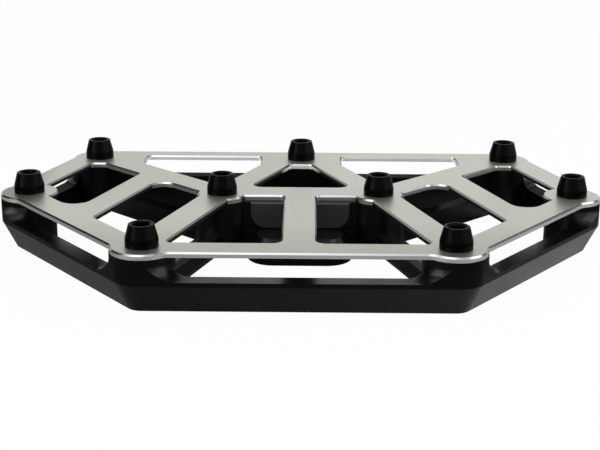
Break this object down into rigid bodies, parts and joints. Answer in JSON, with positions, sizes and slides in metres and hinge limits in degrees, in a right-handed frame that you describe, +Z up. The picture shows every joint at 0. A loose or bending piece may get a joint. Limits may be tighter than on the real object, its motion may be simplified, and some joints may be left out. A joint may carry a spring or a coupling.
{
  "type": "motorcycle mini floorboard",
  "caption": "Compact motorcycle floorboard: open black frame with posts, bevelled satin cover plate with angular cut-outs and hex-socket traction studs",
  "frame": {"origin": "centre of the outline at the underside", "axes": "+X along the board (fore and aft on the machine), +Y towards the machine, +Z up"},
  "size_m": [0.2004, 0.125, 0.0253],
  "materials": {
    "frame_black": "black satin anodised",
    "plate_satin": "satin, bright bevels",
    "stud_black": "black oxide"
  },
  "bodies": {
    "root": {"frame": "frame_black", "top_plate": "plate_satin", "stud_front_left": "stud_black", "stud_front_right": "stud_black", "stud_inner_left": "stud_black", "stud_inner_right": "stud_black", "stud_end_left": "stud_black", "stud_end_right": "stud_black", "stud_rear_left": "stud_black", "stud_rear_centre": "stud_black", "stud_rear_right": "stud_black"}
  },
  "joints": []
}
